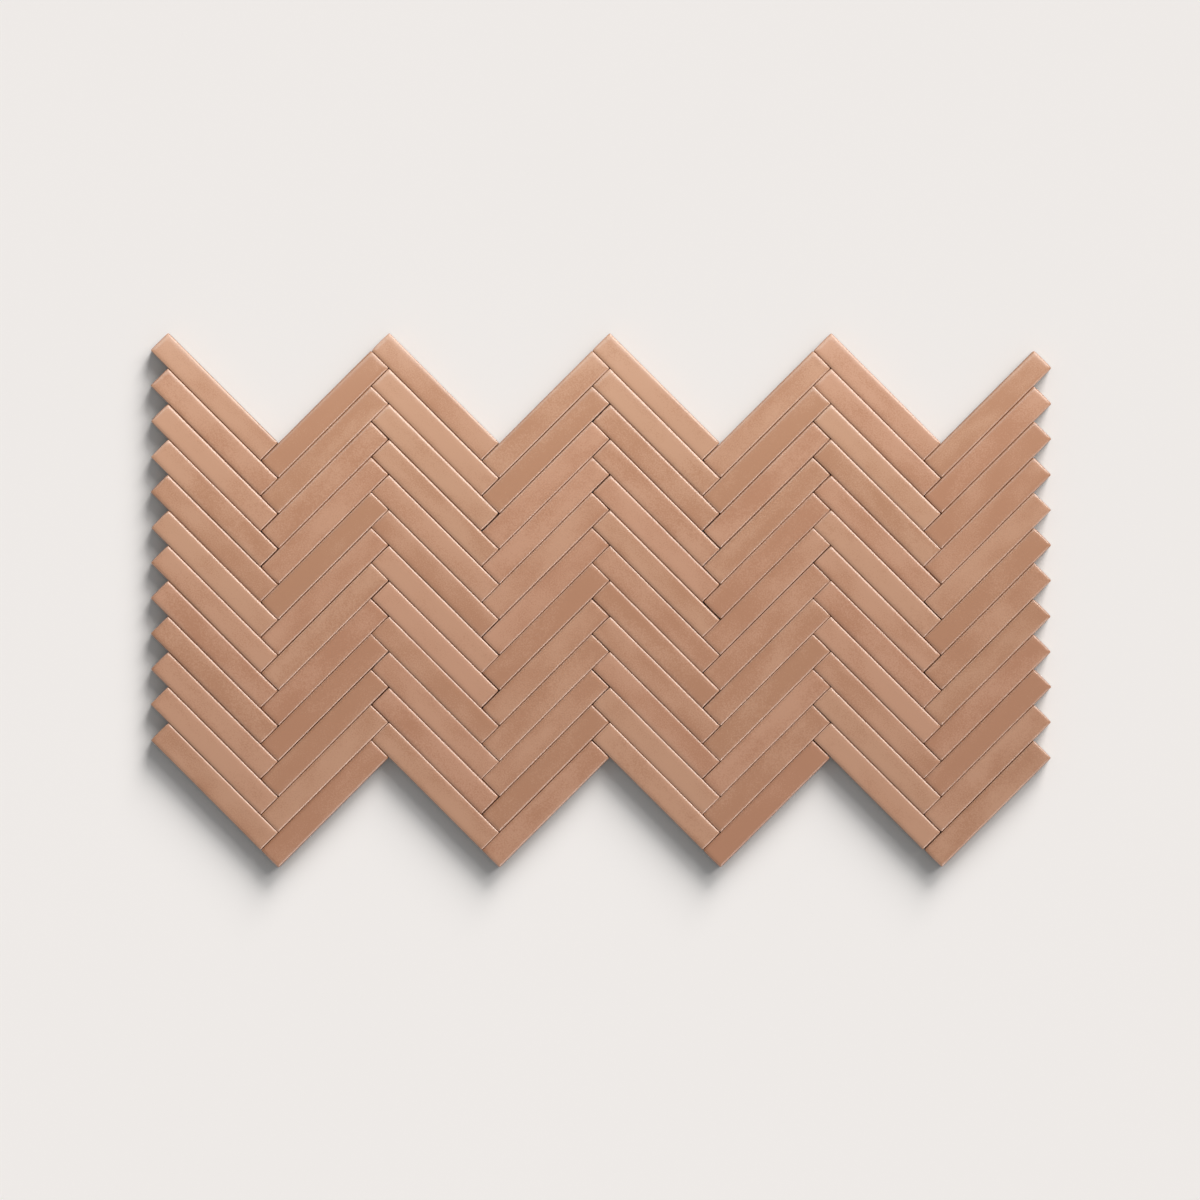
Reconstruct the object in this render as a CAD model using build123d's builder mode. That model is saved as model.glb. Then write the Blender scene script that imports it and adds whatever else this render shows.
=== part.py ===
"""Herringbone mosaic sheet: slim glazed clay sticks held on a glass-fibre net, in millimetres."""

import math
import os

from build123d import *

# Driving sizes of one stick and of the joint between sticks
TILE_LENGTH = 77.0
TILE_WIDTH = 12.0
TILE_THICKNESS = 8.0
EDGE_RADIUS = 1.0
JOINT = 0.4

# Extent of the sheet, counted in sticks
ROWS = 12
COLUMN_PAIRS = 4

# Driving sizes of the backing net
STRAND_WIDTH = 1.0
STRAND_THICKNESS = 0.4
OPENINGS_PER_COLUMN = 5
NET_INSET = 2.0

# Pitches of the herringbone, along the sticks and along the sheet
LENGTH_PITCH = TILE_LENGTH + JOINT
WIDTH_PITCH = TILE_WIDTH + JOINT
DIAGONAL = math.sqrt(2)
COLUMN_PITCH = LENGTH_PITCH / DIAGONAL
ROW_PITCH = WIDTH_PITCH * DIAGONAL
NET_PITCH = COLUMN_PITCH / OPENINGS_PER_COLUMN
COLUMNS = 2 * COLUMN_PAIRS

# Outer size of the sheet, from the tips of its outermost sticks
SHEET_WIDTH = COLUMNS * COLUMN_PITCH + (TILE_WIDTH - JOINT) / DIAGONAL
SHEET_HEIGHT = (ROWS - 1) * ROW_PITCH + (LENGTH_PITCH + 2 * TILE_WIDTH) / DIAGONAL

# Left tip of the first stick, with the middle of the sheet at the origin
START_X = -SHEET_WIDTH / 2
START_Y = SHEET_HEIGHT / 2 - TILE_WIDTH / DIAGONAL

# Plane of the stick backs: its x axis runs down the falling sticks, its y axis up the rising ones
STICK_PLANE = Plane(
    origin=(START_X, START_Y, STRAND_THICKNESS),
    x_dir=(1, -1, 0),
    z_dir=(0, 0, 1),
)

os.makedirs("parts", exist_ok=True)


def stick_places(column):
    """Places of the sticks of one column in the stick plane, from the top row down."""
    pair = column // 2
    places = []
    for row in range(ROWS):
        along = pair * LENGTH_PITCH + row * WIDTH_PITCH
        across = pair * LENGTH_PITCH - row * WIDTH_PITCH
        if column % 2 == 0:
            place = Location((along + TILE_LENGTH / 2, across + TILE_WIDTH / 2, 0))
        else:
            middle = (along + LENGTH_PITCH + TILE_WIDTH / 2, across + TILE_LENGTH / 2, 0)
            place = Location(middle, (0, 0, 90))
        places.append(place)
    return places


def net_edge(column, x, is_top):
    """Height of the net's trimmed upper or lower edge at x, which runs along the sticks."""
    pair = column // 2
    drop = 0 if is_top else (ROWS - 1) * WIDTH_PITCH
    inset = NET_INSET if is_top else TILE_WIDTH - NET_INSET
    if column % 2 == 0:
        up_the_slope = pair * LENGTH_PITCH - drop + TILE_WIDTH - inset
        return START_Y + DIAGONAL * up_the_slope - (x - START_X)
    down_the_slope = (pair + 1) * LENGTH_PITCH + drop + inset
    return START_Y - DIAGONAL * down_the_slope + (x - START_X)


# One finger-shaped stick, its arrises rounded and its back left square for the adhesive
with BuildPart() as stick:
    with BuildSketch():
        Rectangle(TILE_LENGTH, TILE_WIDTH)
    extrude(amount=TILE_THICKNESS)
    corner_edges = stick.edges().filter_by(Axis.Z)
    face_edges = stick.faces().sort_by(Axis.Z)[-1].edges()
    fillet(corner_edges + face_edges, min(EDGE_RADIUS, 0.45 * TILE_WIDTH, 0.9 * TILE_THICKNESS))

# Columns of sticks, falling and rising by turns across the sheet
for column in range(COLUMNS):
    with BuildPart(STICK_PLANE) as tile_column:
        with Locations(*stick_places(column)):
            add(stick.part)
    tile_column.part.label = f"tile_column_{column + 1}"
    export_step(tile_column.part, f"parts/tile_column_{column + 1}.step")

# First strand line of the net, at the bottoms of the notches down the sheet's left side
NET_START = START_X + TILE_WIDTH / DIAGONAL
NET_ROWS = 2 * math.ceil(SHEET_HEIGHT / NET_PITCH / 2) + 1

# Net behind each column: strands bonded at every crossing, trimmed along the sticks
for column in range(COLUMNS):
    left = NET_START + column * COLUMN_PITCH
    right = left + COLUMN_PITCH
    first_strand = left
    last_strand = right
    # The net stops short of the toothed sides, with a whole strand along its edge
    if column == 0:
        left = left + NET_INSET
        first_strand = left + STRAND_WIDTH / 2
    if column == COLUMNS - 1:
        right = right - WIDTH_PITCH / DIAGONAL - NET_INSET
        last_strand = right - STRAND_WIDTH / 2
    openings = max(1, round((last_strand - first_strand) / NET_PITCH))
    strand_pitch = (last_strand - first_strand) / openings
    upright_places = [(first_strand + turn * strand_pitch, 0) for turn in range(openings + 1)]
    level_places = [((left + right) / 2, (turn - NET_ROWS // 2) * NET_PITCH) for turn in range(NET_ROWS)]
    with BuildPart() as backing_mesh:
        with BuildSketch():
            with Locations(*upright_places):
                Rectangle(STRAND_WIDTH, SHEET_HEIGHT)
            with Locations(*level_places):
                Rectangle(right - left, STRAND_WIDTH)
            with BuildLine():
                Polyline(
                    (left, net_edge(column, left, True)),
                    (right, net_edge(column, right, True)),
                    (right, net_edge(column, right, False)),
                    (left, net_edge(column, left, False)),
                    close=True,
                )
            make_face(mode=Mode.INTERSECT)
        extrude(amount=STRAND_THICKNESS)
    backing_mesh.part.label = f"backing_mesh_{column + 1}"
    export_step(backing_mesh.part, f"parts/backing_mesh_{column + 1}.step")
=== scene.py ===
"""Herringbone mosaic sheet: glazed clay sticks on a glass-fibre net, lying face up on a pale floor."""

import logging
import math
from dataclasses import dataclass
from enum import Enum
from typing import Any, Dict, List, Optional, Sequence, Tuple, Union

import bpy
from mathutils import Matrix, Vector


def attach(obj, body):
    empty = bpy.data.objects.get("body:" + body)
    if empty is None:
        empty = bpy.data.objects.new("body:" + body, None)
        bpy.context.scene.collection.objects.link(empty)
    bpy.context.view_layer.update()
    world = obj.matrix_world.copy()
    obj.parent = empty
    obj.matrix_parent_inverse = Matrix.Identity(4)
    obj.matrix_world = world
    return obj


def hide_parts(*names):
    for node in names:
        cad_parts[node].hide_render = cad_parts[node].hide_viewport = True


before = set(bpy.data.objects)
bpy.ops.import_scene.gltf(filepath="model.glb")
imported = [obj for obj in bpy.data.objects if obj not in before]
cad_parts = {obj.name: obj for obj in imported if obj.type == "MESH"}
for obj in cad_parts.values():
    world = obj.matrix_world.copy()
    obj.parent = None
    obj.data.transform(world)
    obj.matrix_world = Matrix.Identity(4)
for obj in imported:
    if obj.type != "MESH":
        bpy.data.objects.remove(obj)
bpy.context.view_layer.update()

MM = 0.001
DIAGONAL = math.sqrt(2)
PHOTO_PIXELS = 1200
LOG = logging.getLogger("herringbone_sheet")

Number = Union[int, float]
Operand = Union["Wire", int, float]
Tint = Tuple[float, float, float]
Colour = Tuple[float, float, float, float]

# Type of a tree's input for each type of value
SOCKET_KINDS = {
    int: "NodeSocketInt",
    float: "NodeSocketFloat",
    Vector: "NodeSocketVector",
    bpy.types.Material: "NodeSocketMaterial",
}

# Tints of the light on the floor and on the sheet
FLOOR_LIGHT: Tint = (1.0, 0.975, 0.95)
SHEET_LIGHT: Tint = (1.0, 0.965, 0.935)


def find_socket(sockets: Any, name: Union[str, int]) -> bpy.types.NodeSocket:
    """Find a socket by its place, its identifier or the name of an enabled one.

    Args:
        sockets: A node's inputs or outputs.
        name: Index, identifier or name.

    Returns:
        The socket.
    """
    if isinstance(name, int):
        return sockets[name]
    for socket in sockets:
        if socket.identifier == name and socket.enabled:
            return socket
    for socket in sockets:
        if socket.name == name and socket.enabled:
            return socket
    raise KeyError(name)


class Wire:
    """One node output that Python arithmetic extends with Math nodes."""

    def __init__(self, bench: "Bench", socket: bpy.types.NodeSocket) -> None:
        """Hold the bench that owns the nodes and the output to read."""
        self.bench = bench
        self.socket = socket

    def math(self, operation: str, *others: Operand) -> "Wire":
        """Add a Math node that takes this wire first."""
        return self.bench.math(operation, self, *others)

    def __add__(self, other: Operand) -> "Wire":
        """Sum of two wires."""
        return self.math("ADD", other)

    def __radd__(self, other: Number) -> "Wire":
        """Sum of a number and this wire."""
        return self.bench.math("ADD", other, self)

    def __sub__(self, other: Operand) -> "Wire":
        """Difference of two wires."""
        return self.math("SUBTRACT", other)

    def __rsub__(self, other: Number) -> "Wire":
        """A number less this wire."""
        return self.bench.math("SUBTRACT", other, self)

    def __mul__(self, other: Operand) -> "Wire":
        """Product of two wires."""
        return self.math("MULTIPLY", other)

    def __rmul__(self, other: Number) -> "Wire":
        """Product of a number and this wire."""
        return self.bench.math("MULTIPLY", other, self)

    def __truediv__(self, other: Operand) -> "Wire":
        """Quotient of two wires."""
        return self.math("DIVIDE", other)

    def __pow__(self, other: Operand) -> "Wire":
        """This wire raised to a power."""
        return self.math("POWER", other)

    def __abs__(self) -> "Wire":
        """Magnitude of this wire."""
        return self.math("ABSOLUTE")

    def sign(self) -> "Wire":
        """Minus one, nought or one."""
        return self.math("SIGN")

    def least(self, other: Operand) -> "Wire":
        """The smaller of two."""
        return self.math("MINIMUM", other)

    def most(self, other: Operand) -> "Wire":
        """The larger of two."""
        return self.math("MAXIMUM", other)

    def unit(self) -> "Wire":
        """This wire held between nought and one."""
        return self.most(0.0).least(1.0)

    def ramp(self, low: Operand, high: Operand) -> "Wire":
        """Smooth rise from nought at low to one at high."""
        sockets = {"Value": self, "From Min": low, "From Max": high}
        return self.bench.wire("ShaderNodeMapRange", "Result", {"interpolation_type": "SMOOTHSTEP"}, sockets)


class Bench:
    """A node tree under construction, for a shader or for geometry."""

    def __init__(self, tree: bpy.types.NodeTree) -> None:
        """Hold the tree that nodes are added to."""
        self.tree = tree

    def feed(self, socket: bpy.types.NodeSocket, value: Any) -> None:
        """Link a wire or an output to an input, or set its plain value."""
        if isinstance(value, Wire):
            self.tree.links.new(value.socket, socket)
        elif isinstance(value, bpy.types.NodeSocket):
            self.tree.links.new(value, socket)
        else:
            socket.default_value = value

    def node(
        self,
        kind: str,
        settings: Optional[Dict[str, Any]] = None,
        sockets: Optional[Dict[Union[str, int], Any]] = None,
    ) -> bpy.types.Node:
        """Add any node.

        Args:
            kind: The node's type.
            settings: Its own settings, which are set first.
            sockets: Values or links of its inputs.

        Returns:
            The node.
        """
        made = self.tree.nodes.new(kind)
        for name, value in (settings or {}).items():
            setattr(made, name, value)
        for name, value in (sockets or {}).items():
            self.feed(find_socket(made.inputs, name), value)
        return made

    def wire(
        self,
        kind: str,
        output: Union[str, int],
        settings: Optional[Dict[str, Any]] = None,
        sockets: Optional[Dict[Union[str, int], Any]] = None,
    ) -> Wire:
        """Add any node and take one of its outputs.

        Args:
            kind: The node's type.
            output: The output to read.
            settings: Its own settings, which are set first.
            sockets: Values or links of its inputs.

        Returns:
            The wire of that output.
        """
        return Wire(self, find_socket(self.node(kind, settings, sockets).outputs, output))

    def math(self, operation: str, *operands: Operand) -> Wire:
        """Add a Math node with its operands in order."""
        return self.wire("ShaderNodeMath", 0, {"operation": operation}, dict(enumerate(operands)))

    def vector(self, x: Any, y: Any, z: Any) -> Wire:
        """Join three values into a vector."""
        return self.wire("ShaderNodeCombineXYZ", 0, None, {"X": x, "Y": y, "Z": z})

    def parts(self, vector: Any) -> Tuple[Wire, Wire, Wire]:
        """Split a vector into its three values."""
        split = self.node("ShaderNodeSeparateXYZ", None, {"Vector": vector})
        return Wire(self, split.outputs[0]), Wire(self, split.outputs[1]), Wire(self, split.outputs[2])

    def noise(self, place: Any, scale: float, detail: float = 2.0, shift: Any = 0.0) -> Wire:
        """Soft noise from about -0.5 to 0.5, with scale cells for each metre, shifted for each stick."""
        sockets = {"Vector": place, "W": shift, "Scale": scale, "Detail": detail}
        return self.wire("ShaderNodeTexNoise", "Fac", {"noise_dimensions": "4D"}, sockets) - 0.5

    def blend(self, share: Any, first: Any, second: Any, mode: str = "MIX") -> Wire:
        """Mix two colours.

        Args:
            share: How much of the second.
            first: Colour at nought.
            second: Colour at one.
            mode: The Mix node's blend type.

        Returns:
            The wire of the mixed colour.
        """
        settings = {"data_type": "RGBA", "blend_type": mode, "clamp_factor": True}
        sockets = {"Factor_Float": share, "A_Color": first, "B_Color": second}
        return self.wire("ShaderNodeMix", "Result_Color", settings, sockets)

    def scaled(self, colour: Any, by: Any) -> Wire:
        """A colour made lighter or darker by a factor."""
        whole = colour if isinstance(colour, Wire) else colour[:3]
        return self.wire("ShaderNodeVectorMath", 0, {"operation": "SCALE"}, {0: whole, "Scale": by})

    def bump(self, strength: float, depth: float, height: Wire) -> Wire:
        """Surface normal of a fine relief, from its depth in metres."""
        sockets = {"Strength": strength, "Distance": depth, "Height": height}
        return self.wire("ShaderNodeBump", "Normal", None, sockets)

    def change(self, kind: str, geometry: Wire, sockets: Optional[Dict[str, Any]] = None) -> Wire:
        """Pass a geometry through a geometry node that changes it."""
        return self.wire(f"GeometryNode{kind}", 0, None, {"Geometry": geometry, **(sockets or {})})

    def keep(self, geometry: Wire, name: str, value: Any, kind: str) -> Wire:
        """Keep a value on the points of a geometry.

        Args:
            geometry: The geometry.
            name: The value's name.
            value: The value.
            kind: Its data type.

        Returns:
            The wire of the geometry that carries it.
        """
        settings = {"data_type": kind, "domain": "POINT"}
        sockets = {"Geometry": geometry, "Name": name, "Value": value}
        return self.wire("GeometryNodeStoreNamedAttribute", 0, settings, sockets)

    def kept(self, name: str, kind: str) -> Wire:
        """Read a value that a geometry's points carry."""
        return self.wire("GeometryNodeInputNamedAttribute", 0, {"data_type": kind}, {"Name": name})


class Mark(Enum):
    """Names of the values that each stick's mesh carries for its glaze."""

    TONE = "stick_tone"
    TINT = "stick_tint"
    RIM = "stick_rim"
    THINNING_AND_HIGHLIGHT = "stick_arris"
    SPOT = "stick_spot"


class Lean(Enum):
    """Which way a column's sticks run, as the turn of their long axis from the sheet's width."""

    FALLING = -math.pi / 4
    RISING = math.pi / 4


class Draw(Enum):
    """The random values that are drawn for each stick or each joint."""

    SWELL = 1
    FAR_BOW = 2
    NEAR_BOW = 3
    TILT_ACROSS = 4
    TILT_ALONG = 5
    BED = 6
    FAR_SLANT = 7
    NEAR_SLANT = 8
    FAR_GAP = 9
    RADIUS = 10
    JOINT_DRIFT = 11
    JOINT_SKEW = 12
    JOINT_OPENING = 13
    NEAR_GAP = 14
    TONE = 20
    TINT = 21


def placed(name: str, data: Any) -> bpy.types.Object:
    """Make an object of some data and link it to the scene.

    Args:
        name: The object's name.
        data: Its mesh, lamp or camera.

    Returns:
        The object.
    """
    made = bpy.data.objects.new(name, data)
    bpy.context.scene.collection.objects.link(made)
    return made


def shader_bench(name: str) -> Tuple[bpy.types.Material, Bench, bpy.types.Node]:
    """Start a material whose tree holds one Principled shader.

    Args:
        name: The material's name.

    Returns:
        The material, its bench and the Principled node.
    """
    material = bpy.data.materials.new(name)
    material.use_nodes = True
    bench = Bench(material.node_tree)
    principled = material.node_tree.nodes["Principled BSDF"]
    return material, bench, principled


@dataclass(frozen=True)
class ClayGlaze:
    """Satin glaze over a clay body, each stick fired to a tone of its own."""

    deep: Colour = (0.323, 0.147, 0.0775, 1.0)
    light: Colour = (0.392, 0.202, 0.122, 1.0)
    # Paler glaze over the edges, which also serves as a painted highlight
    thin_glaze_and_highlight: Colour = (0.540, 0.325, 0.232, 1.0)
    pink: Colour = (1.015, 0.992, 0.992, 1.0)
    straw: Colour = (0.992, 1.008, 0.990, 1.0)
    pooled: Colour = (1.00, 0.95, 0.93, 1.0)
    body: Colour = (0.212, 0.160, 0.122, 1.0)
    glaze_line: float = 6.2 * MM
    glaze_wander: float = 2.2 * MM
    glaze_blur: float = 0.4 * MM
    gloss_line: float = 7.6 * MM
    gloss_blur: float = 0.3 * MM
    cloud_scale: float = 90.0
    mottle_scale: float = 420.0
    grain_scale: float = 1500.0
    patch_scale: float = 70.0
    wander_scale: float = 130.0
    tone_share: float = 0.455
    cloud_share: float = 2.8
    mottle_share: float = 0.75
    grain_share: float = 3.0
    painted_rim_shade: float = 0.07
    roughness: float = 0.33
    side_roughness: float = 0.88
    coat: float = 0.55
    coat_roughness: float = 0.18
    refraction: float = 1.5
    relief_strength: float = 0.35
    relief_depth: float = 0.02 * MM

    def material(self) -> bpy.types.Material:
        """Build the glaze.

        Returns:
            The material.
        """
        material, bench, shader = shader_bench("satin_clay_glaze")
        tone = self.mark(bench, Mark.TONE)
        tint = self.mark(bench, Mark.TINT)
        rim = self.mark(bench, Mark.RIM)
        thinning_and_highlight = self.mark(bench, Mark.THINNING_AND_HIGHLIGHT)
        spot = bench.wire("ShaderNodeAttribute", "Vector", {"attribute_name": Mark.SPOT.value})
        place = bench.wire("ShaderNodeTexCoord", "Object")
        height = bench.parts(place)[2]
        shift = tone * 37.0 + tint * 11.0
        along, across, _ = bench.parts(spot)
        drawn = bench.vector(along * 0.45, across, 0.0)
        cloud = bench.noise(drawn, self.cloud_scale, 1.0, shift)
        mottle = bench.noise(spot, self.mottle_scale, 3.0, shift)
        grain = bench.noise(spot, self.grain_scale, 2.0, shift)
        # Glaze tone: the stick's own firing with the painted shade of its column's lean, slow clouds, and a
        # fine mottle
        share = 0.5 + self.tone_share * tone + self.cloud_share * cloud
        share = share + self.mottle_share * mottle + self.grain_share * grain
        glaze = bench.blend(share.unit(), self.deep, self.light)
        cast = bench.blend(0.5 + 0.5 * tint, self.pink, self.straw)
        glaze = bench.blend(1.0, glaze, cast, "MULTIPLY")
        # Painted shade: the glaze is darkened a little towards every edge of the face
        glaze = bench.scaled(glaze, 1.0 - self.painted_rim_shade * rim)
        # Over the arrises the glaze is thinner and breaks to a paler tone, in patches; laid most on the
        # edges and ends that face the lamps, this paler tone is also a painted highlight
        patch = bench.noise(bench.vector(along, across * 3.0, 0.0), self.patch_scale, 2.0, shift + 5.0)
        glaze = bench.blend((thinning_and_highlight * (0.50 + 0.30 * tint + 1.2 * patch)).unit(), glaze, self.thin_glaze_and_highlight)
        # It pools to a slightly deeper tone down the sides
        satin = height.ramp(self.gloss_line - self.gloss_blur, self.gloss_line + self.gloss_blur)
        glaze = bench.blend(1.0 - satin, glaze, bench.blend(1.0, glaze, self.pooled, "MULTIPLY"))
        # The glaze stops in a wavy line part way down the sides, and the clay body shows below it
        edge = height + bench.noise(place, self.wander_scale, 2.0) * self.glaze_wander
        covered = edge.ramp(self.glaze_line - self.glaze_blur, self.glaze_line + self.glaze_blur)
        clay = bench.scaled(self.body, 1.0 + 0.5 * mottle + 0.5 * grain)
        colour = bench.blend(covered, clay, glaze)
        # The glaze is satin on the face and turns matte down the sides
        gloss = self.roughness + 0.12 * mottle + 0.08 * grain
        bench.feed(shader.inputs["Base Color"], colour)
        roughness = self.side_roughness + satin * (gloss - self.side_roughness)
        bench.feed(shader.inputs["Roughness"], roughness)
        bench.feed(shader.inputs["Coat Weight"], satin * self.coat)
        relief = bench.bump(self.relief_strength, self.relief_depth, 0.7 * mottle + 0.3 * grain)
        bench.feed(shader.inputs["Normal"], relief)
        shader.inputs["IOR"].default_value = self.refraction
        shader.inputs["Coat Roughness"].default_value = self.coat_roughness
        return material

    @staticmethod
    def mark(bench: Bench, mark: Mark) -> Wire:
        """Read one of the values that the stick's mesh carries."""
        return bench.wire("ShaderNodeAttribute", "Fac", {"attribute_name": mark.value})


@dataclass(frozen=True)
class GlassYarn:
    """Off-white resin-coated glass-fibre yarn."""

    pale: Colour = (0.80, 0.79, 0.74, 1.0)
    dull: Colour = (0.62, 0.60, 0.54, 1.0)
    twist: float = 2600.0
    dirt_scale: float = 160.0
    roughness: float = 0.62
    relief_strength: float = 0.6
    relief_depth: float = 0.02 * MM

    def material(self) -> bpy.types.Material:
        """Build the yarn.

        Returns:
            The material.
        """
        material, bench, shader = shader_bench("glass_fibre_yarn")
        place = bench.wire("ShaderNodeTexCoord", "Object")
        x, y, _ = bench.parts(place)
        fibres = ((x + y) * (self.twist * math.tau)).math("SINE")
        dirt = bench.noise(place, self.dirt_scale, 3.0)
        share = 0.35 + 0.30 * fibres + 0.9 * dirt
        bench.feed(shader.inputs["Base Color"], bench.blend(share.unit(), self.pale, self.dull))
        bench.feed(shader.inputs["Roughness"], self.roughness + 0.2 * dirt)
        relief = bench.bump(self.relief_strength, self.relief_depth, fibres)
        bench.feed(shader.inputs["Normal"], relief)
        return material


@dataclass(frozen=True)
class PaleFloor:
    """Plain pale studio floor."""

    colour: Colour = (0.965, 0.935, 0.920, 1.0)
    paper_scale: float = 6.0
    roughness: float = 0.9

    def material(self) -> bpy.types.Material:
        """Build the floor's finish.

        Returns:
            The material.
        """
        material, bench, shader = shader_bench("pale_floor")
        place = bench.wire("ShaderNodeTexCoord", "Object")
        paper = bench.noise(place, self.paper_scale, 1.0)
        bench.feed(shader.inputs["Base Color"], bench.scaled(self.colour, 1.0 + 0.01 * paper))
        shader.inputs["Roughness"].default_value = self.roughness
        shader.inputs["Specular IOR Level"].default_value = 0.0
        return material


@dataclass(frozen=True)
class Layout:
    """Places of the sticks on the sheet, in metres."""

    length: float = 77.0 * MM
    width: float = 12.0 * MM
    thickness: float = 8.0 * MM
    joint: float = 0.4 * MM
    bed: float = 0.4 * MM
    rows: int = 12
    columns: int = 8

    @property
    def length_pitch(self) -> float:
        """Length of a stick and one joint."""
        return self.length + self.joint

    @property
    def width_pitch(self) -> float:
        """Width of a stick and one joint."""
        return self.width + self.joint

    @property
    def column_pitch(self) -> float:
        """Distance from one column's middle to the next."""
        return self.length_pitch / DIAGONAL

    @property
    def row_pitch(self) -> float:
        """Distance from one row to the next down a column."""
        return self.width_pitch * DIAGONAL

    @property
    def start(self) -> Vector:
        """Left tip of the first stick."""
        across = self.columns * self.column_pitch + (self.width - self.joint) / DIAGONAL
        down = (self.rows - 1) * self.row_pitch + self.length_pitch / DIAGONAL
        return Vector((-across / 2, down / 2, 0.0))

    def lean(self, column: int) -> Lean:
        """Which way a column's sticks run."""
        return Lean.FALLING if column % 2 == 0 else Lean.RISING

    def free_end(self, column: int) -> float:
        """Which ends of a column's sticks are free: minus one for the left, one for the right."""
        return float(column == self.columns - 1) - float(column == 0)

    def first_place(self, column: int) -> Vector:
        """Middle of the back of a column's top stick.

        Args:
            column: Its number from the left, from nought.

        Returns:
            The place.
        """
        offset = self.width_pitch / (2 * DIAGONAL)
        side = 1 if self.lean(column) is Lean.FALLING else -1
        across = (column - (self.columns - 1) / 2) * self.column_pitch
        up = (self.rows - 1) / 2 * self.row_pitch + side * offset
        return Vector((across, up, self.bed))


@dataclass
class StickColumns:
    """The glazed sticks, one mesh for each column, made by one node tree."""

    layout: Layout
    finish: ClayGlaze
    edge_radius: float = 0.69 * MM
    crown_depth: float = 0.40 * MM
    crown_reach: float = 2.3 * MM
    edge_wave: float = 0.16 * MM
    end_bow: float = 0.22 * MM
    # Painted shade: how much darker the rising columns are made than the falling ones
    lean_shade: float = 0.55
    seed: int = 40
    seed_step: int = 100
    steps: Tuple[int, int, int] = (84, 15, 7)
    back_slope: float = -0.9

    def build(self) -> List[bpy.types.Object]:
        """Make every column.

        Returns:
            The columns' objects, from the left.
        """
        material = self.finish.material()
        tree = self.tree(self.values(0, material))
        pieces = []
        for column in range(self.layout.columns):
            mesh = grown_mesh(tree, self.values(column, material), f"glazed_sticks_{column + 1}")
            pieces.append(fixed_piece(mesh, f"tile_column_{column + 1}"))
        return pieces

    def values(self, column: int, material: bpy.types.Material) -> Dict[str, Any]:
        """Sizes of one column.

        Args:
            column: Its number from the left, from nought.
            material: The glaze.

        Returns:
            The value of each of the tree's inputs.
        """
        layout = self.layout
        return {
            "Length Pitch": layout.length_pitch,
            "Width Pitch": layout.width_pitch,
            "Joint": layout.joint,
            "Thickness": layout.thickness,
            "Edge Radius": self.edge_radius,
            "Crown Depth": self.crown_depth,
            "Crown Reach": self.crown_reach,
            "Edge Wave": self.edge_wave,
            "End Bow": self.end_bow,
            "Rows": layout.rows,
            "First Place": layout.first_place(column),
            "Row Pitch": layout.row_pitch,
            "Lean": layout.lean(column).value,
            "Lean Shade": self.lean_shade,
            "Free End": layout.free_end(column),
            "Seed": self.seed + self.seed_step * column,
            "Material": material,
        }

    def tree(self, values: Dict[str, Any]) -> bpy.types.NodeTree:
        """Build the node tree that grows one column of sticks.

        Args:
            values: A value for each of its inputs.

        Returns:
            The tree.
        """
        bench, given = open_tree("stick_column", values)
        place = bench.wire("GeometryNodeInputPosition", 0)
        # A box of faces, one for each stick, that remembers its own coordinates and its stick
        counts = dict(zip(("Vertices X", "Vertices Y", "Vertices Z"), self.steps))
        box = bench.wire("GeometryNodeMeshCube", "Mesh", None, {"Size": (2.0, 2.0, 2.0), **counts})
        box = bench.keep(box, "place", place, "FLOAT_VECTOR")
        step = bench.vector(0.0, 0.0 - given["Row Pitch"], 0.0)
        sockets = {"Count": given["Rows"], "Start Location": given["First Place"], "Offset": step}
        line = bench.wire("GeometryNodeMeshLine", "Mesh", None, sockets)
        line = bench.keep(line, "number", bench.wire("GeometryNodeInputIndex", 0), "INT")
        line = bench.keep(line, "middle", place, "FLOAT_VECTOR")
        sticks = bench.wire("GeometryNodeInstanceOnPoints", 0, None, {"Points": line, "Instance": box})
        sticks = bench.change("RealizeInstances", sticks)
        shape = StickShape(bench, given)
        sticks = bench.change("SetPosition", sticks, {"Position": shape.position()})
        # Painted shade: rising columns are made a little darker than falling ones, as the light catches the
        # two leans differently
        tone = shape.chance(Draw.TONE, -1.0, 1.0) - given["Lean Shade"] * shape.lean
        tint = shape.chance(Draw.TINT, -1.0, 1.0)
        marks = {Mark.TONE: tone, Mark.TINT: tint, Mark.RIM: shape.rim, Mark.THINNING_AND_HIGHLIGHT: shape.thinning_and_highlight}
        for mark, value in marks.items():
            sticks = bench.keep(sticks, mark.value, value, "FLOAT")
        sticks = bench.keep(sticks, Mark.SPOT.value, shape.spot, "FLOAT_VECTOR")
        for spare in ("place", "number", "middle"):
            sticks = bench.change("RemoveAttribute", sticks, {"Name": spare})
        # Backs stay flat-shaded, so that their square edges read as sharp
        sticks = bench.change("SetShadeSmooth", sticks, {"Shade Smooth": True})
        facing = bench.parts(bench.wire("GeometryNodeInputNormal", 0))[2]
        is_back = facing.math("LESS_THAN", self.back_slope)
        sticks = bench.change("SetShadeSmooth", sticks, {"Selection": is_back, "Shade Smooth": False})
        return close_tree(bench, sticks, given["Material"])


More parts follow.
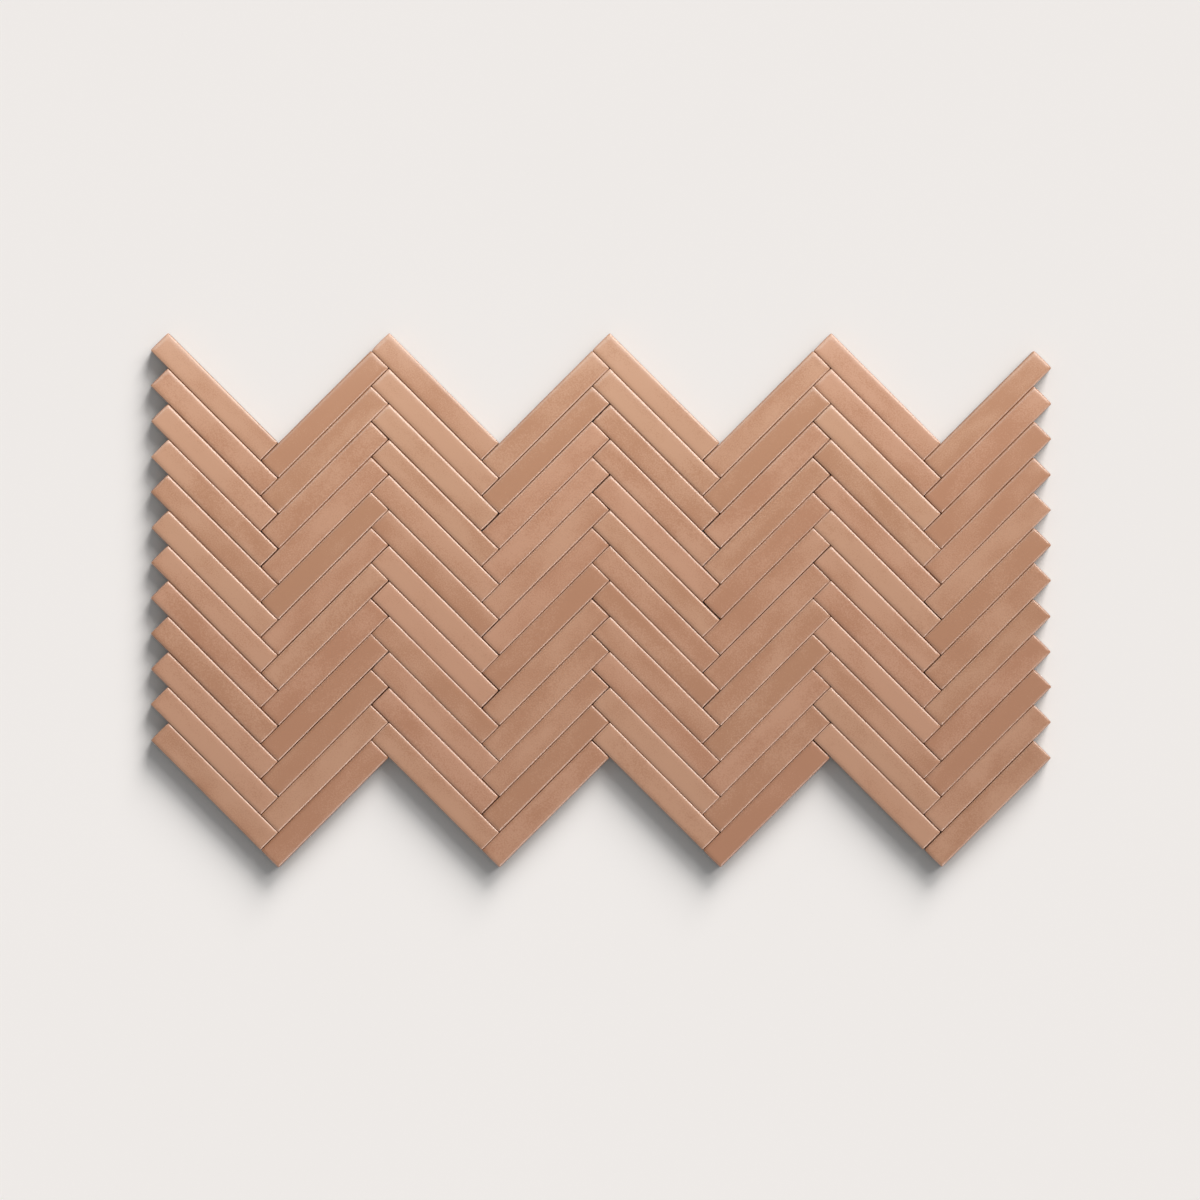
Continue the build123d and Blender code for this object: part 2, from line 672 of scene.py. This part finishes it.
@dataclass
class StickShape:
    """Shape of a stick, as expressions on the points of its box."""

    bench: Bench
    given: Dict[str, Wire]
    gather: Tuple[float, float, float] = (1.7, 1.8, 2.0)
    face_height: Tuple[float, float] = (0.5, 0.9)
    arris_height: Tuple[float, float] = (0.80, 0.93)
    arris_reach: Tuple[float, float] = (0.10 * MM, 0.85 * MM)
    far_end_reach: Tuple[float, float] = (1.1 * MM, 0.4 * MM)
    free_reach: Tuple[float, float] = (0.85 * MM, 1.60 * MM)
    outline_highlight_cut: float = 0.85
    radius_share: Tuple[float, float] = (0.62, 1.20)
    swell_depth: float = 0.10 * MM
    swell_scale: float = 48.0
    tilt_across: float = 0.009
    tilt_along: float = 0.0016
    bed: Tuple[float, float] = (-0.14 * MM, 0.10 * MM)
    joint_scale: float = 38.0
    joint_drift: float = 0.04 * MM
    joint_skew: float = 0.0010
    swing_scale: float = 40.0
    narrowest: float = 0.015 * MM
    end_gap: Tuple[float, float] = (0.20, 1.0)
    end_slant: float = 0.05 * MM
    least_reach: float = 1e-9

    def __post_init__(self) -> None:
        """Read the box's coordinates, the stick's number and its half sizes."""
        self.number = self.bench.kept("number", "INT")
        self.place = self.bench.parts(self.bench.kept("place", "FLOAT_VECTOR"))
        self.middle = self.bench.parts(self.bench.kept("middle", "FLOAT_VECTOR"))
        self.half_length = self.given["Length Pitch"] * 0.5
        self.half_width = self.given["Width Pitch"] * 0.5
        self.top = self.given["Thickness"]
        self.lean = self.given["Lean"].sign()

    def chance(self, draw: Draw, low: float, high: float, number: Optional[Wire] = None) -> Wire:
        """A seeded random value, the same all over one stick or all along one joint.

        Args:
            draw: Which of its draws this is.
            low: Its least value.
            high: Its greatest value.
            number: Number of the joint, where it isn't the stick's own value.

        Returns:
            The wire of the value.
        """
        owner = self.number if number is None else number
        sockets = {"Min": low, "Max": high, "ID": owner, "Seed": self.given["Seed"] + draw.value}
        return self.bench.wire("FunctionNodeRandomValue", "Value_001", {"data_type": "FLOAT"}, sockets)

    def position(self) -> Wire:
        """Place of every point on the sheet.

        Returns:
            The wire of the positions.
        """
        bench = self.bench
        given = self.given
        along, across, rise = self.place
        # Points gather towards the edges, where the form is rounded
        x = self.half_length * along.sign() * (1.0 - (1.0 - abs(along)) ** self.gather[0])
        y = self.half_width * across.sign() * (1.0 - (1.0 - abs(across)) ** self.gather[1])
        z = self.top * (1.0 - (0.5 - rise * 0.5) ** self.gather[2])
        x, y, z = self.rounded(x, y, z)
        # The face is crowned: it falls away a little towards every edge
        near_end = (1.0 - (self.half_length - abs(x)) / given["Crown Reach"]).unit()
        near_side = (1.0 - (self.half_width - abs(y)) / given["Crown Reach"]).unit()
        upper = z / self.top
        face = upper.ramp(*self.face_height)
        self.rim = (near_end * near_end + near_side * near_side).least(1.0) * face
        self.spot = bench.vector(x, y, z)
        self.thinning_and_highlight = self.thinning_and_highlight_mask(x, y) * upper.ramp(*self.arris_height)
        shift = self.chance(Draw.SWELL, 0.0, 90.0)
        swell = bench.noise(bench.vector(x, y, 0.0), self.swell_scale, 1.0, shift)
        z = z - given["Crown Depth"] * self.rim + swell * self.swell_depth * face
        x, y = x + self.end_shift(x, y), y + self.side_shift(x, y)
        # Each stick is bedded a little high or low, and tilted
        tilt = y * self.chance(Draw.TILT_ACROSS, -self.tilt_across, self.tilt_across)
        tilt = tilt + x * self.chance(Draw.TILT_ALONG, -self.tilt_along, self.tilt_along)
        z = z + upper * (tilt + self.chance(Draw.BED, *self.bed))
        cosine = given["Lean"].math("COSINE")
        sine = given["Lean"].math("SINE")
        middle_x, middle_y, middle_z = self.middle
        turned_x = middle_x + x * cosine - y * sine
        turned_y = middle_y + x * sine + y * cosine
        return bench.vector(turned_x, turned_y, middle_z + z)

    def thinning_and_highlight_mask(self, x: Wire, y: Wire) -> Wire:
        """How far the glaze has run off the edges of the face, and where a painted highlight lies along
        them.

        Args:
            x: Place along the stick.
            y: Place across it.

        Returns:
            The wire of a mask, one where the glaze is thinnest and the painted highlight strongest.
        """
        from_end = self.half_length - abs(x)
        from_side = self.half_width - abs(y)
        # More of it lies on one long edge and the far end than on the others: these face the lamps, so here
        # it is partly a painted highlight
        start, end = self.far_end_reach
        share = 0.53 - 0.47 * self.lean * y / self.half_width
        share = share.most(1.15 * x.ramp(self.half_length - start, self.half_length - end))
        # Edges that have no neighbour and make the sheet's outline get little of the paler tone and painted
        # highlight
        joint = self.joint(y)
        free_side = joint.math("LESS_THAN", -0.5) + joint.math("GREATER_THAN", self.given["Rows"] - 1.5)
        free_end = (x.sign() * self.given["Free End"]).most(0.0)
        free_side = free_side * (1.0 - from_side.ramp(*self.free_reach))
        free_end = free_end * (1.0 - from_end.ramp(*self.free_reach))
        share = share * (1.0 - self.outline_highlight_cut * free_side.most(free_end))
        return (1.0 - from_end.least(from_side).ramp(*self.arris_reach)) * share

    def joint(self, y: Wire) -> Wire:
        """Number of the joint on a point's side of the stick, which the next stick shares."""
        return self.number - (0.5 + 0.5 * y.sign()).math("ROUND")

    def side_shift(self, x: Wire, y: Wire) -> Wire:
        """Move the long sides to the wavy joints that each stick shares with the next in its column.

        Args:
            x: Place along the stick.
            y: Place across it.

        Returns:
            The shift across the stick.
        """
        side = y.sign()
        joint = self.joint(y)
        run = x - self.lean * side * self.half_width
        phase = joint * 5.37 + self.given["Seed"] * 0.731
        path = self.bench.vector(run, 0.0, 0.0)
        drift = self.chance(Draw.JOINT_DRIFT, -1.0, 1.0, joint) * self.joint_drift
        drift = drift + self.chance(Draw.JOINT_SKEW, -1.0, 1.0, joint) * run * self.joint_skew
        middle = drift + self.given["Edge Wave"] * self.bench.noise(path, self.joint_scale, 1.0, phase)
        swing = 0.14 * self.bench.noise(path, self.swing_scale, 1.0, phase + 41.0)
        width = 0.02 + 0.25 * self.chance(Draw.JOINT_OPENING, 0.0, 1.0, joint) ** 2.0 + swing
        opening = (self.given["Joint"] * width).most(self.narrowest)
        return abs(y) / self.half_width * (middle - side * opening)

    def end_shift(self, x: Wire, y: Wire) -> Wire:
        """Draw the two ends back from the neighbouring column, bowed by their own amounts.

        Args:
            x: Place along the stick.
            y: Place across it.

        Returns:
            The shift along the stick.
        """
        is_far = x.math("GREATER_THAN", 0.0)
        wide = y / self.half_width
        bow = self.of_end(is_far, Draw.FAR_BOW, Draw.NEAR_BOW, 0.0, 1.0)
        slant = self.of_end(is_far, Draw.FAR_SLANT, Draw.NEAR_SLANT, -1.0, 1.0)
        gap = self.of_end(is_far, Draw.FAR_GAP, Draw.NEAR_GAP, *self.end_gap) ** 3.0
        back = self.given["Joint"] * gap + self.given["End Bow"] * bow * wide * wide
        back = back + self.end_slant * slant * wide
        near = (abs(x) / self.half_length) ** 3.0
        return 0.0 - x.sign() * near * back

    def of_end(self, is_far: Wire, far: Draw, near: Draw, low: float, high: float) -> Wire:
        """A random value that each of the two ends draws for itself."""
        return is_far * self.chance(far, low, high) + (1.0 - is_far) * self.chance(near, low, high)

    def rounded(self, x: Wire, y: Wire, z: Wire) -> Tuple[Wire, Wire, Wire]:
        """Round the upright corners and the edges of the face, and leave the back square.

        Args:
            x: Place along the stick.
            y: Place across it.
            z: Height above its back.

        Returns:
            The rounded places.
        """
        radius = self.given["Edge Radius"] * self.chance(Draw.RADIUS, *self.radius_share)
        core_x = x.most(radius - self.half_length).least(self.half_length - radius)
        core_y = y.most(radius - self.half_width).least(self.half_width - radius)
        core_z = z.least(self.top - radius)
        out_x = x - core_x
        out_y = y - core_y
        out_z = z - core_z
        reach = abs(out_x).most(abs(out_y)).most(abs(out_z))
        distance = (out_x * out_x + out_y * out_y + out_z * out_z).math("SQRT").most(self.least_reach)
        pull = reach / distance
        return core_x + out_x * pull, core_y + out_y * pull, core_z + out_z * pull


def open_tree(name: str, values: Dict[str, Any]) -> Tuple[Bench, Dict[str, Wire]]:
    """Start a geometry tree with named inputs.

    Args:
        name: The tree's name.
        values: A value for each input, whose type gives the socket's.

    Returns:
        The tree's bench, and the wire of each input.
    """
    tree = bpy.data.node_groups.new(name, "GeometryNodeTree")
    for label, value in values.items():
        tree.interface.new_socket(label, in_out="INPUT", socket_type=SOCKET_KINDS[type(value)])
    tree.interface.new_socket("Geometry", in_out="OUTPUT", socket_type="NodeSocketGeometry")
    bench = Bench(tree)
    source = bench.node("NodeGroupInput")
    given = {label: Wire(bench, find_socket(source.outputs, label)) for label in values}
    return bench, given


def close_tree(bench: Bench, geometry: Wire, material: Wire) -> bpy.types.NodeTree:
    """End a geometry tree: realize what is left, set the material and put it out.

    Args:
        bench: The tree's bench.
        geometry: What the tree has made.
        material: Its finish.

    Returns:
        The tree.
    """
    whole = bench.change("RealizeInstances", geometry)
    dressed = bench.change("SetMaterial", whole, {"Material": material})
    bench.node("NodeGroupOutput", None, {"Geometry": dressed})
    return bench.tree


def grown_mesh(tree: bpy.types.NodeTree, values: Dict[str, Any], name: str) -> bpy.types.Mesh:
    """Run a geometry tree once and keep its result as a plain mesh.

    Args:
        tree: The tree.
        values: Value of each named input.
        name: Name for the mesh.

    Returns:
        The mesh.
    """
    seedbed = placed("seedbed", bpy.data.meshes.new("seedbed"))
    modifier = seedbed.modifiers.new("grow", "NODES")
    modifier.node_group = tree
    for socket in tree.interface.items_tree:
        if socket.in_out == "INPUT":
            modifier[socket.identifier] = values[socket.name]
    graph = bpy.context.evaluated_depsgraph_get()
    mesh = bpy.data.meshes.new_from_object(seedbed.evaluated_get(graph), depsgraph=graph)
    mesh.name = name
    seedbed.modifiers.remove(modifier)
    bpy.data.objects.remove(seedbed, do_unlink=True)
    return mesh


def fixed_piece(mesh: bpy.types.Mesh, node: str) -> bpy.types.Object:
    """Make a mesh a piece of the sheet, in place of one of the frame's solids.

    Args:
        mesh: The mesh, whose name the piece takes.
        node: The solid that it stands for.

    Returns:
        The piece.
    """
    piece = placed(mesh.name, mesh)
    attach(piece, "root")
    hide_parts(node)
    LOG.info("%s: %d faces", piece.name, len(mesh.polygons))
    return piece


@dataclass
class BackingNet:
    """The woven glass-fibre net, one mesh behind each column, made by one node tree."""

    layout: Layout
    finish: GlassYarn
    strand_width: float = 1.0 * MM
    openings: int = 5
    inset: float = 2.0 * MM
    level_count: int = 27
    shortest: float = 0.8 * MM
    sides: int = 8
    steps: Tuple[int, int] = (112, 30)

    def build(self) -> List[bpy.types.Object]:
        """Make every stretch of the net.

        Returns:
            The stretches' objects, from the left.
        """
        material = self.finish.material()
        tree = self.tree(self.values(0, 0, material))
        pieces = []
        passed = 0
        for column in range(self.layout.columns):
            values = self.values(column, passed, material)
            passed += values["Uprights"]
            mesh = grown_mesh(tree, values, f"woven_net_{column + 1}")
            pieces.append(fixed_piece(mesh, f"backing_mesh_{column + 1}"))
        return pieces

    def values(self, column: int, passed: int, material: bpy.types.Material) -> Dict[str, Any]:
        """Sizes of the net behind one column.

        Args:
            column: Its number from the left, from nought.
            passed: How many upright strands lie to its left.
            material: The yarn.

        Returns:
            The value of each of the tree's inputs.
        """
        layout = self.layout
        level_pitch = layout.column_pitch / self.openings
        is_last = column == layout.columns - 1
        left = layout.start.x + layout.width / DIAGONAL + column * layout.column_pitch
        right = left + layout.column_pitch
        first = left
        last = right
        # The net stops short of the toothed sides, with a whole strand along its edge
        if column == 0:
            left += self.inset
            first = left + self.strand_width / 2
        if is_last:
            right -= layout.width_pitch / DIAGONAL + self.inset
            last = right - self.strand_width / 2
        openings = max(1, round((last - first) / level_pitch))
        # It is trimmed along the top and bottom sticks
        slope = layout.lean(column).value / Lean.RISING.value
        pair = column // 2
        fall = (layout.rows - 1) * layout.width_pitch
        if layout.lean(column) is Lean.FALLING:
            upper = pair * layout.length_pitch + layout.width - self.inset
            lower = pair * layout.length_pitch + self.inset - fall
        else:
            upper = -(pair + 1) * layout.length_pitch - self.inset
            lower = -(pair + 1) * layout.length_pitch - layout.width + self.inset - fall
        origin = layout.start.y - slope * layout.start.x
        return {
            "Uprights": openings + 1 if is_last else openings,
            "First Number": passed,
            "First Upright": first,
            "Upright Pitch": (last - first) / openings,
            "Left": left,
            "Right": right,
            "Levels": self.level_count,
            "Level Pitch": level_pitch,
            "Slope": slope,
            "Upper": origin + DIAGONAL * upper,
            "Lower": origin + DIAGONAL * lower,
            "Strand Width": self.strand_width,
            "Net Thickness": layout.bed,
            "Material": material,
        }

    def tree(self, values: Dict[str, Any]) -> bpy.types.NodeTree:
        """Build the node tree that weaves one stretch of the net.

        Args:
            values: A value for each of its inputs.

        Returns:
            The tree.
        """
        bench, given = open_tree("net_stretch", values)
        weave = Weave(bench, given)
        uprights = self.strands(bench, given["Uprights"], self.steps[0])
        uprights = bench.change("SetPosition", uprights, {"Position": weave.upright()})
        levels = self.strands(bench, given["Levels"], self.steps[1])
        levels = bench.change("SetPosition", levels, {"Position": weave.level()})
        # Level strands that the trimmed edges leave no room for are dropped
        sockets = {"Geometry": levels, "Selection": weave.run.math("LESS_THAN", self.shortest)}
        levels = bench.wire("GeometryNodeDeleteGeometry", 0, {"domain": "POINT"}, sockets)
        net = bench.node("GeometryNodeJoinGeometry")
        bench.feed(net.inputs[0], uprights)
        bench.feed(net.inputs[0], levels)
        woven = Wire(bench, net.outputs[0])
        for spare in ("place", "number"):
            woven = bench.change("RemoveAttribute", woven, {"Name": spare})
        return close_tree(bench, woven, given["Material"])

    def strands(self, bench: Bench, count: Wire, steps: int) -> Wire:
        """Make straight round strands that remember their own coordinates and number.

        Args:
            bench: The tree's bench.
            count: How many.
            steps: Steps along each.

        Returns:
            The wire of the strands.
        """
        sockets = {"Vertices": self.sides, "Side Segments": steps, "Radius": 1.0, "Depth": 2.0}
        tube = bench.node("GeometryNodeMeshCylinder", {"fill_type": "NGON"}, sockets)
        place = bench.wire("GeometryNodeInputPosition", 0)
        strand = bench.keep(Wire(bench, tube.outputs[0]), "place", place, "FLOAT_VECTOR")
        strand = bench.change("SetShadeSmooth", strand, {"Shade Smooth": False})
        side = find_socket(tube.outputs, "Side")
        strand = bench.change("SetShadeSmooth", strand, {"Selection": side, "Shade Smooth": True})
        line = bench.wire("GeometryNodeMeshLine", "Mesh", None, {"Count": count})
        line = bench.keep(line, "number", bench.wire("GeometryNodeInputIndex", 0), "INT")
        strands = bench.wire("GeometryNodeInstanceOnPoints", 0, None, {"Points": line, "Instance": strand})
        return bench.change("RealizeInstances", strands)


@dataclass
class Weave:
    """Places of the net's strands, which pass over and under each other by turns."""

    bench: Bench
    given: Dict[str, Wire]

    def __post_init__(self) -> None:
        """Read the strand's own coordinates and number."""
        self.number = self.bench.kept("number", "INT")
        across, rise, along = self.bench.parts(self.bench.kept("place", "FLOAT_VECTOR"))
        self.side = across * self.given["Strand Width"] * 0.5
        self.rise = rise * self.given["Net Thickness"] * 0.25
        self.along = 0.5 + 0.5 * along

    def height(self, turns: Wire) -> Wire:
        """Height of a point of a strand, which rises and dips once in two crossings."""
        wave = ((turns + self.given["First Number"] + self.number) * math.pi).math("COSINE")
        return self.given["Net Thickness"] * (0.5 + 0.25 * wave) + self.rise

    def upright(self) -> Wire:
        """Place of every point of the upright strands.

        Returns:
            The wire of the positions.
        """
        given = self.given
        x = given["First Upright"] + self.number * given["Upright Pitch"] - self.side
        low = given["Lower"] + given["Slope"] * x
        high = given["Upper"] + given["Slope"] * x
        y = low + self.along * (high - low)
        return self.bench.vector(x, y, self.height(y / given["Level Pitch"]))

    def level(self) -> Wire:
        """Place of every point of the level strands.

        Returns:
            The wire of the positions.
        """
        given = self.given
        y = (self.number - (given["Levels"] - 1.0) * 0.5) * given["Level Pitch"] + self.side
        one_end = (y - given["Upper"]) * given["Slope"]
        other_end = (y - given["Lower"]) * given["Slope"]
        low = one_end.least(other_end).most(given["Left"])
        high = one_end.most(other_end).least(given["Right"])
        self.run = high - low
        x = low + self.along * self.run
        turns = (x - given["First Upright"]) / given["Upright Pitch"]
        return self.bench.vector(x, y, self.height(turns))


@dataclass(frozen=True)
class FarLamp:
    """A broad soft lamp, so far off that it lights the whole floor alike; angles are in degrees."""

    name: str
    level: float
    colour: Tint
    azimuth: float
    elevation: float
    spread: float

    def hang(self) -> bpy.types.Object:
        """Hang the lamp, its power set by the level of light that it gives a level surface.

        Returns:
            The lamp's object.
        """
        azimuth = math.radians(self.azimuth)
        elevation = math.radians(self.elevation)
        lamp = bpy.data.lights.new(self.name, "SUN")
        lamp.energy = self.level * math.pi / math.sin(elevation)
        lamp.angle = math.radians(self.spread)
        lamp.color = self.colour
        holder = placed(self.name, lamp)
        level = math.cos(elevation)
        way = Vector((level * math.cos(azimuth), level * math.sin(azimuth), math.sin(elevation)))
        holder.location = way
        holder.rotation_euler = way.to_track_quat("Z", "Y").to_euler()
        return holder


@dataclass(frozen=True)
class StripLamp:
    """A strip of soft light that hangs face down, close above the sheet's upper edge."""

    name: str = "strip_lamp"
    power: float = 1.20
    colour: Tint = (0.87, 1.0, 1.02)
    size: Tuple[float, float] = (1.0, 0.14)
    place: Tuple[float, float, float] = (0.0, 0.22, 0.20)

    def hang(self) -> bpy.types.Object:
        """Hang the lamp.

        Returns:
            The lamp's object.
        """
        lamp = bpy.data.lights.new(self.name, "AREA")
        lamp.energy = self.power
        lamp.color = self.colour
        lamp.shape = "RECTANGLE"
        lamp.size, lamp.size_y = self.size
        holder = placed(self.name, lamp)
        holder.location = self.place
        holder.visible_camera = False
        return holder


@dataclass
class Studio:
    """Floor, lamps and camera."""

    floor: PaleFloor
    floor_side: float = 12.0
    frame_width: float = 0.4952 * MM * PHOTO_PIXELS
    lens: float = 200.0
    sensor: float = 36.0
    sight: float = 100.0
    face_height: float = 8.4 * MM
    camera_shift: Tuple[float, float] = (-0.50 * MM, 0.15 * MM)
    ambient: float = 0.255
    sky: Colour = (0.945, 0.985, 1.0, 1.0)
    backdrop: float = 0.84
    dim_side: float = 0.14
    dim_reach: Tuple[float, float] = (-0.70, -0.15)
    floor_lamps: Tuple[FarLamp, ...] = (
        FarLamp("low_floor_lamp", 0.362, FLOOR_LIGHT, azimuth=66.0, elevation=22.0, spread=26.0),
        FarLamp("high_floor_lamp", 0.286, FLOOR_LIGHT, azimuth=46.0, elevation=35.0, spread=36.0),
    )
    sheet_lamps: Tuple[Union[FarLamp, StripLamp], ...] = (
        FarLamp("key_lamp", 0.530, SHEET_LIGHT, azimuth=55.0, elevation=32.0, spread=46.0),
        FarLamp("fill_lamp", 0.22, SHEET_LIGHT, azimuth=-57.0, elevation=35.5, spread=26.0),
        FarLamp("low_fill_lamp", 0.045, SHEET_LIGHT, azimuth=-135.0, elevation=30.0, spread=40.0),
        StripLamp(),
    )

    def build(self, sheet: Sequence[bpy.types.Object]) -> None:
        """Make the whole studio.

        Args:
            sheet: The pieces that lie on the floor.
        """
        floor = self.lay_floor()
        self.light_sky()
        self.light("lit_floor", self.floor_lamps, [floor])
        self.light("lit_sheet", self.sheet_lamps, sheet)
        self.set_camera()

    def light(
        self, name: str, lamps: Sequence[Union[FarLamp, StripLamp]], pieces: Sequence[bpy.types.Object]
    ) -> None:
        """Hang lamps that light some pieces only.

        Args:
            name: Name for the group of pieces.
            lamps: The lamps.
            pieces: What they light.
        """
        lit = bpy.data.collections.new(name)
        for piece in pieces:
            lit.objects.link(piece)
        for lamp in lamps:
            lamp.hang().light_linking.receiver_collection = lit

    def lay_floor(self) -> bpy.types.Object:
        """Lay the floor under the sheet.

        Returns:
            The floor.
        """
        half = self.floor_side / 2
        mesh = bpy.data.meshes.new("floor")
        corners = [(-half, -half, 0.0), (half, -half, 0.0), (half, half, 0.0), (-half, half, 0.0)]
        mesh.from_pydata(corners, [], [(0, 1, 2, 3)])
        mesh.materials.append(self.floor.material())
        floor = placed("floor", mesh)
        return floor

    def light_sky(self) -> None:
        """Set the even light from all round, in front of a pale backdrop."""
        world = bpy.data.worlds.new("studio_sky")
        world.use_nodes = True
        bench = Bench(world.node_tree)
        sky = world.node_tree.nodes["Background"]
        path = bench.node("ShaderNodeLightPath")
        shown = Wire(bench, path.outputs["Is Camera Ray"]) + Wire(bench, path.outputs["Is Transmission Ray"])
        mirrored = Wire(bench, path.outputs["Is Glossy Ray"])
        # The glaze mirrors the same pale room, whose left side is dim
        toward = bench.parts(bench.wire("ShaderNodeTexCoord", "Object"))[0]
        room = self.dim_side + (self.backdrop - self.dim_side) * toward.ramp(*self.dim_reach)
        strength = self.ambient + shown * (self.backdrop - self.ambient) + mirrored * (room - self.ambient)
        sky.inputs["Color"].default_value = self.sky
        bench.feed(sky.inputs["Strength"], strength)
        bpy.context.scene.world = world

    def set_camera(self) -> None:
        """Look straight down on the sheet through a long lens."""
        camera = bpy.data.cameras.new("camera")
        camera.lens = self.lens
        camera.sensor_width = self.sensor
        camera.clip_end = self.sight
        holder = placed("camera", camera)
        height = self.face_height + self.frame_width * self.lens / self.sensor
        holder.location = (self.camera_shift[0], self.camera_shift[1], height)
        bpy.context.scene.camera = holder


def main() -> None:
    """Build the sheet and the studio, and report each piece."""
    logging.basicConfig(level=logging.INFO, format="%(name)s: %(message)s")
    bpy.context.scene.view_settings.view_transform = "Standard"
    layout = Layout()
    sticks = StickColumns(layout, ClayGlaze()).build()
    net = BackingNet(layout, GlassYarn()).build()
    Studio(PaleFloor()).build(sticks + net)


if __name__ == "__main__":
    main()
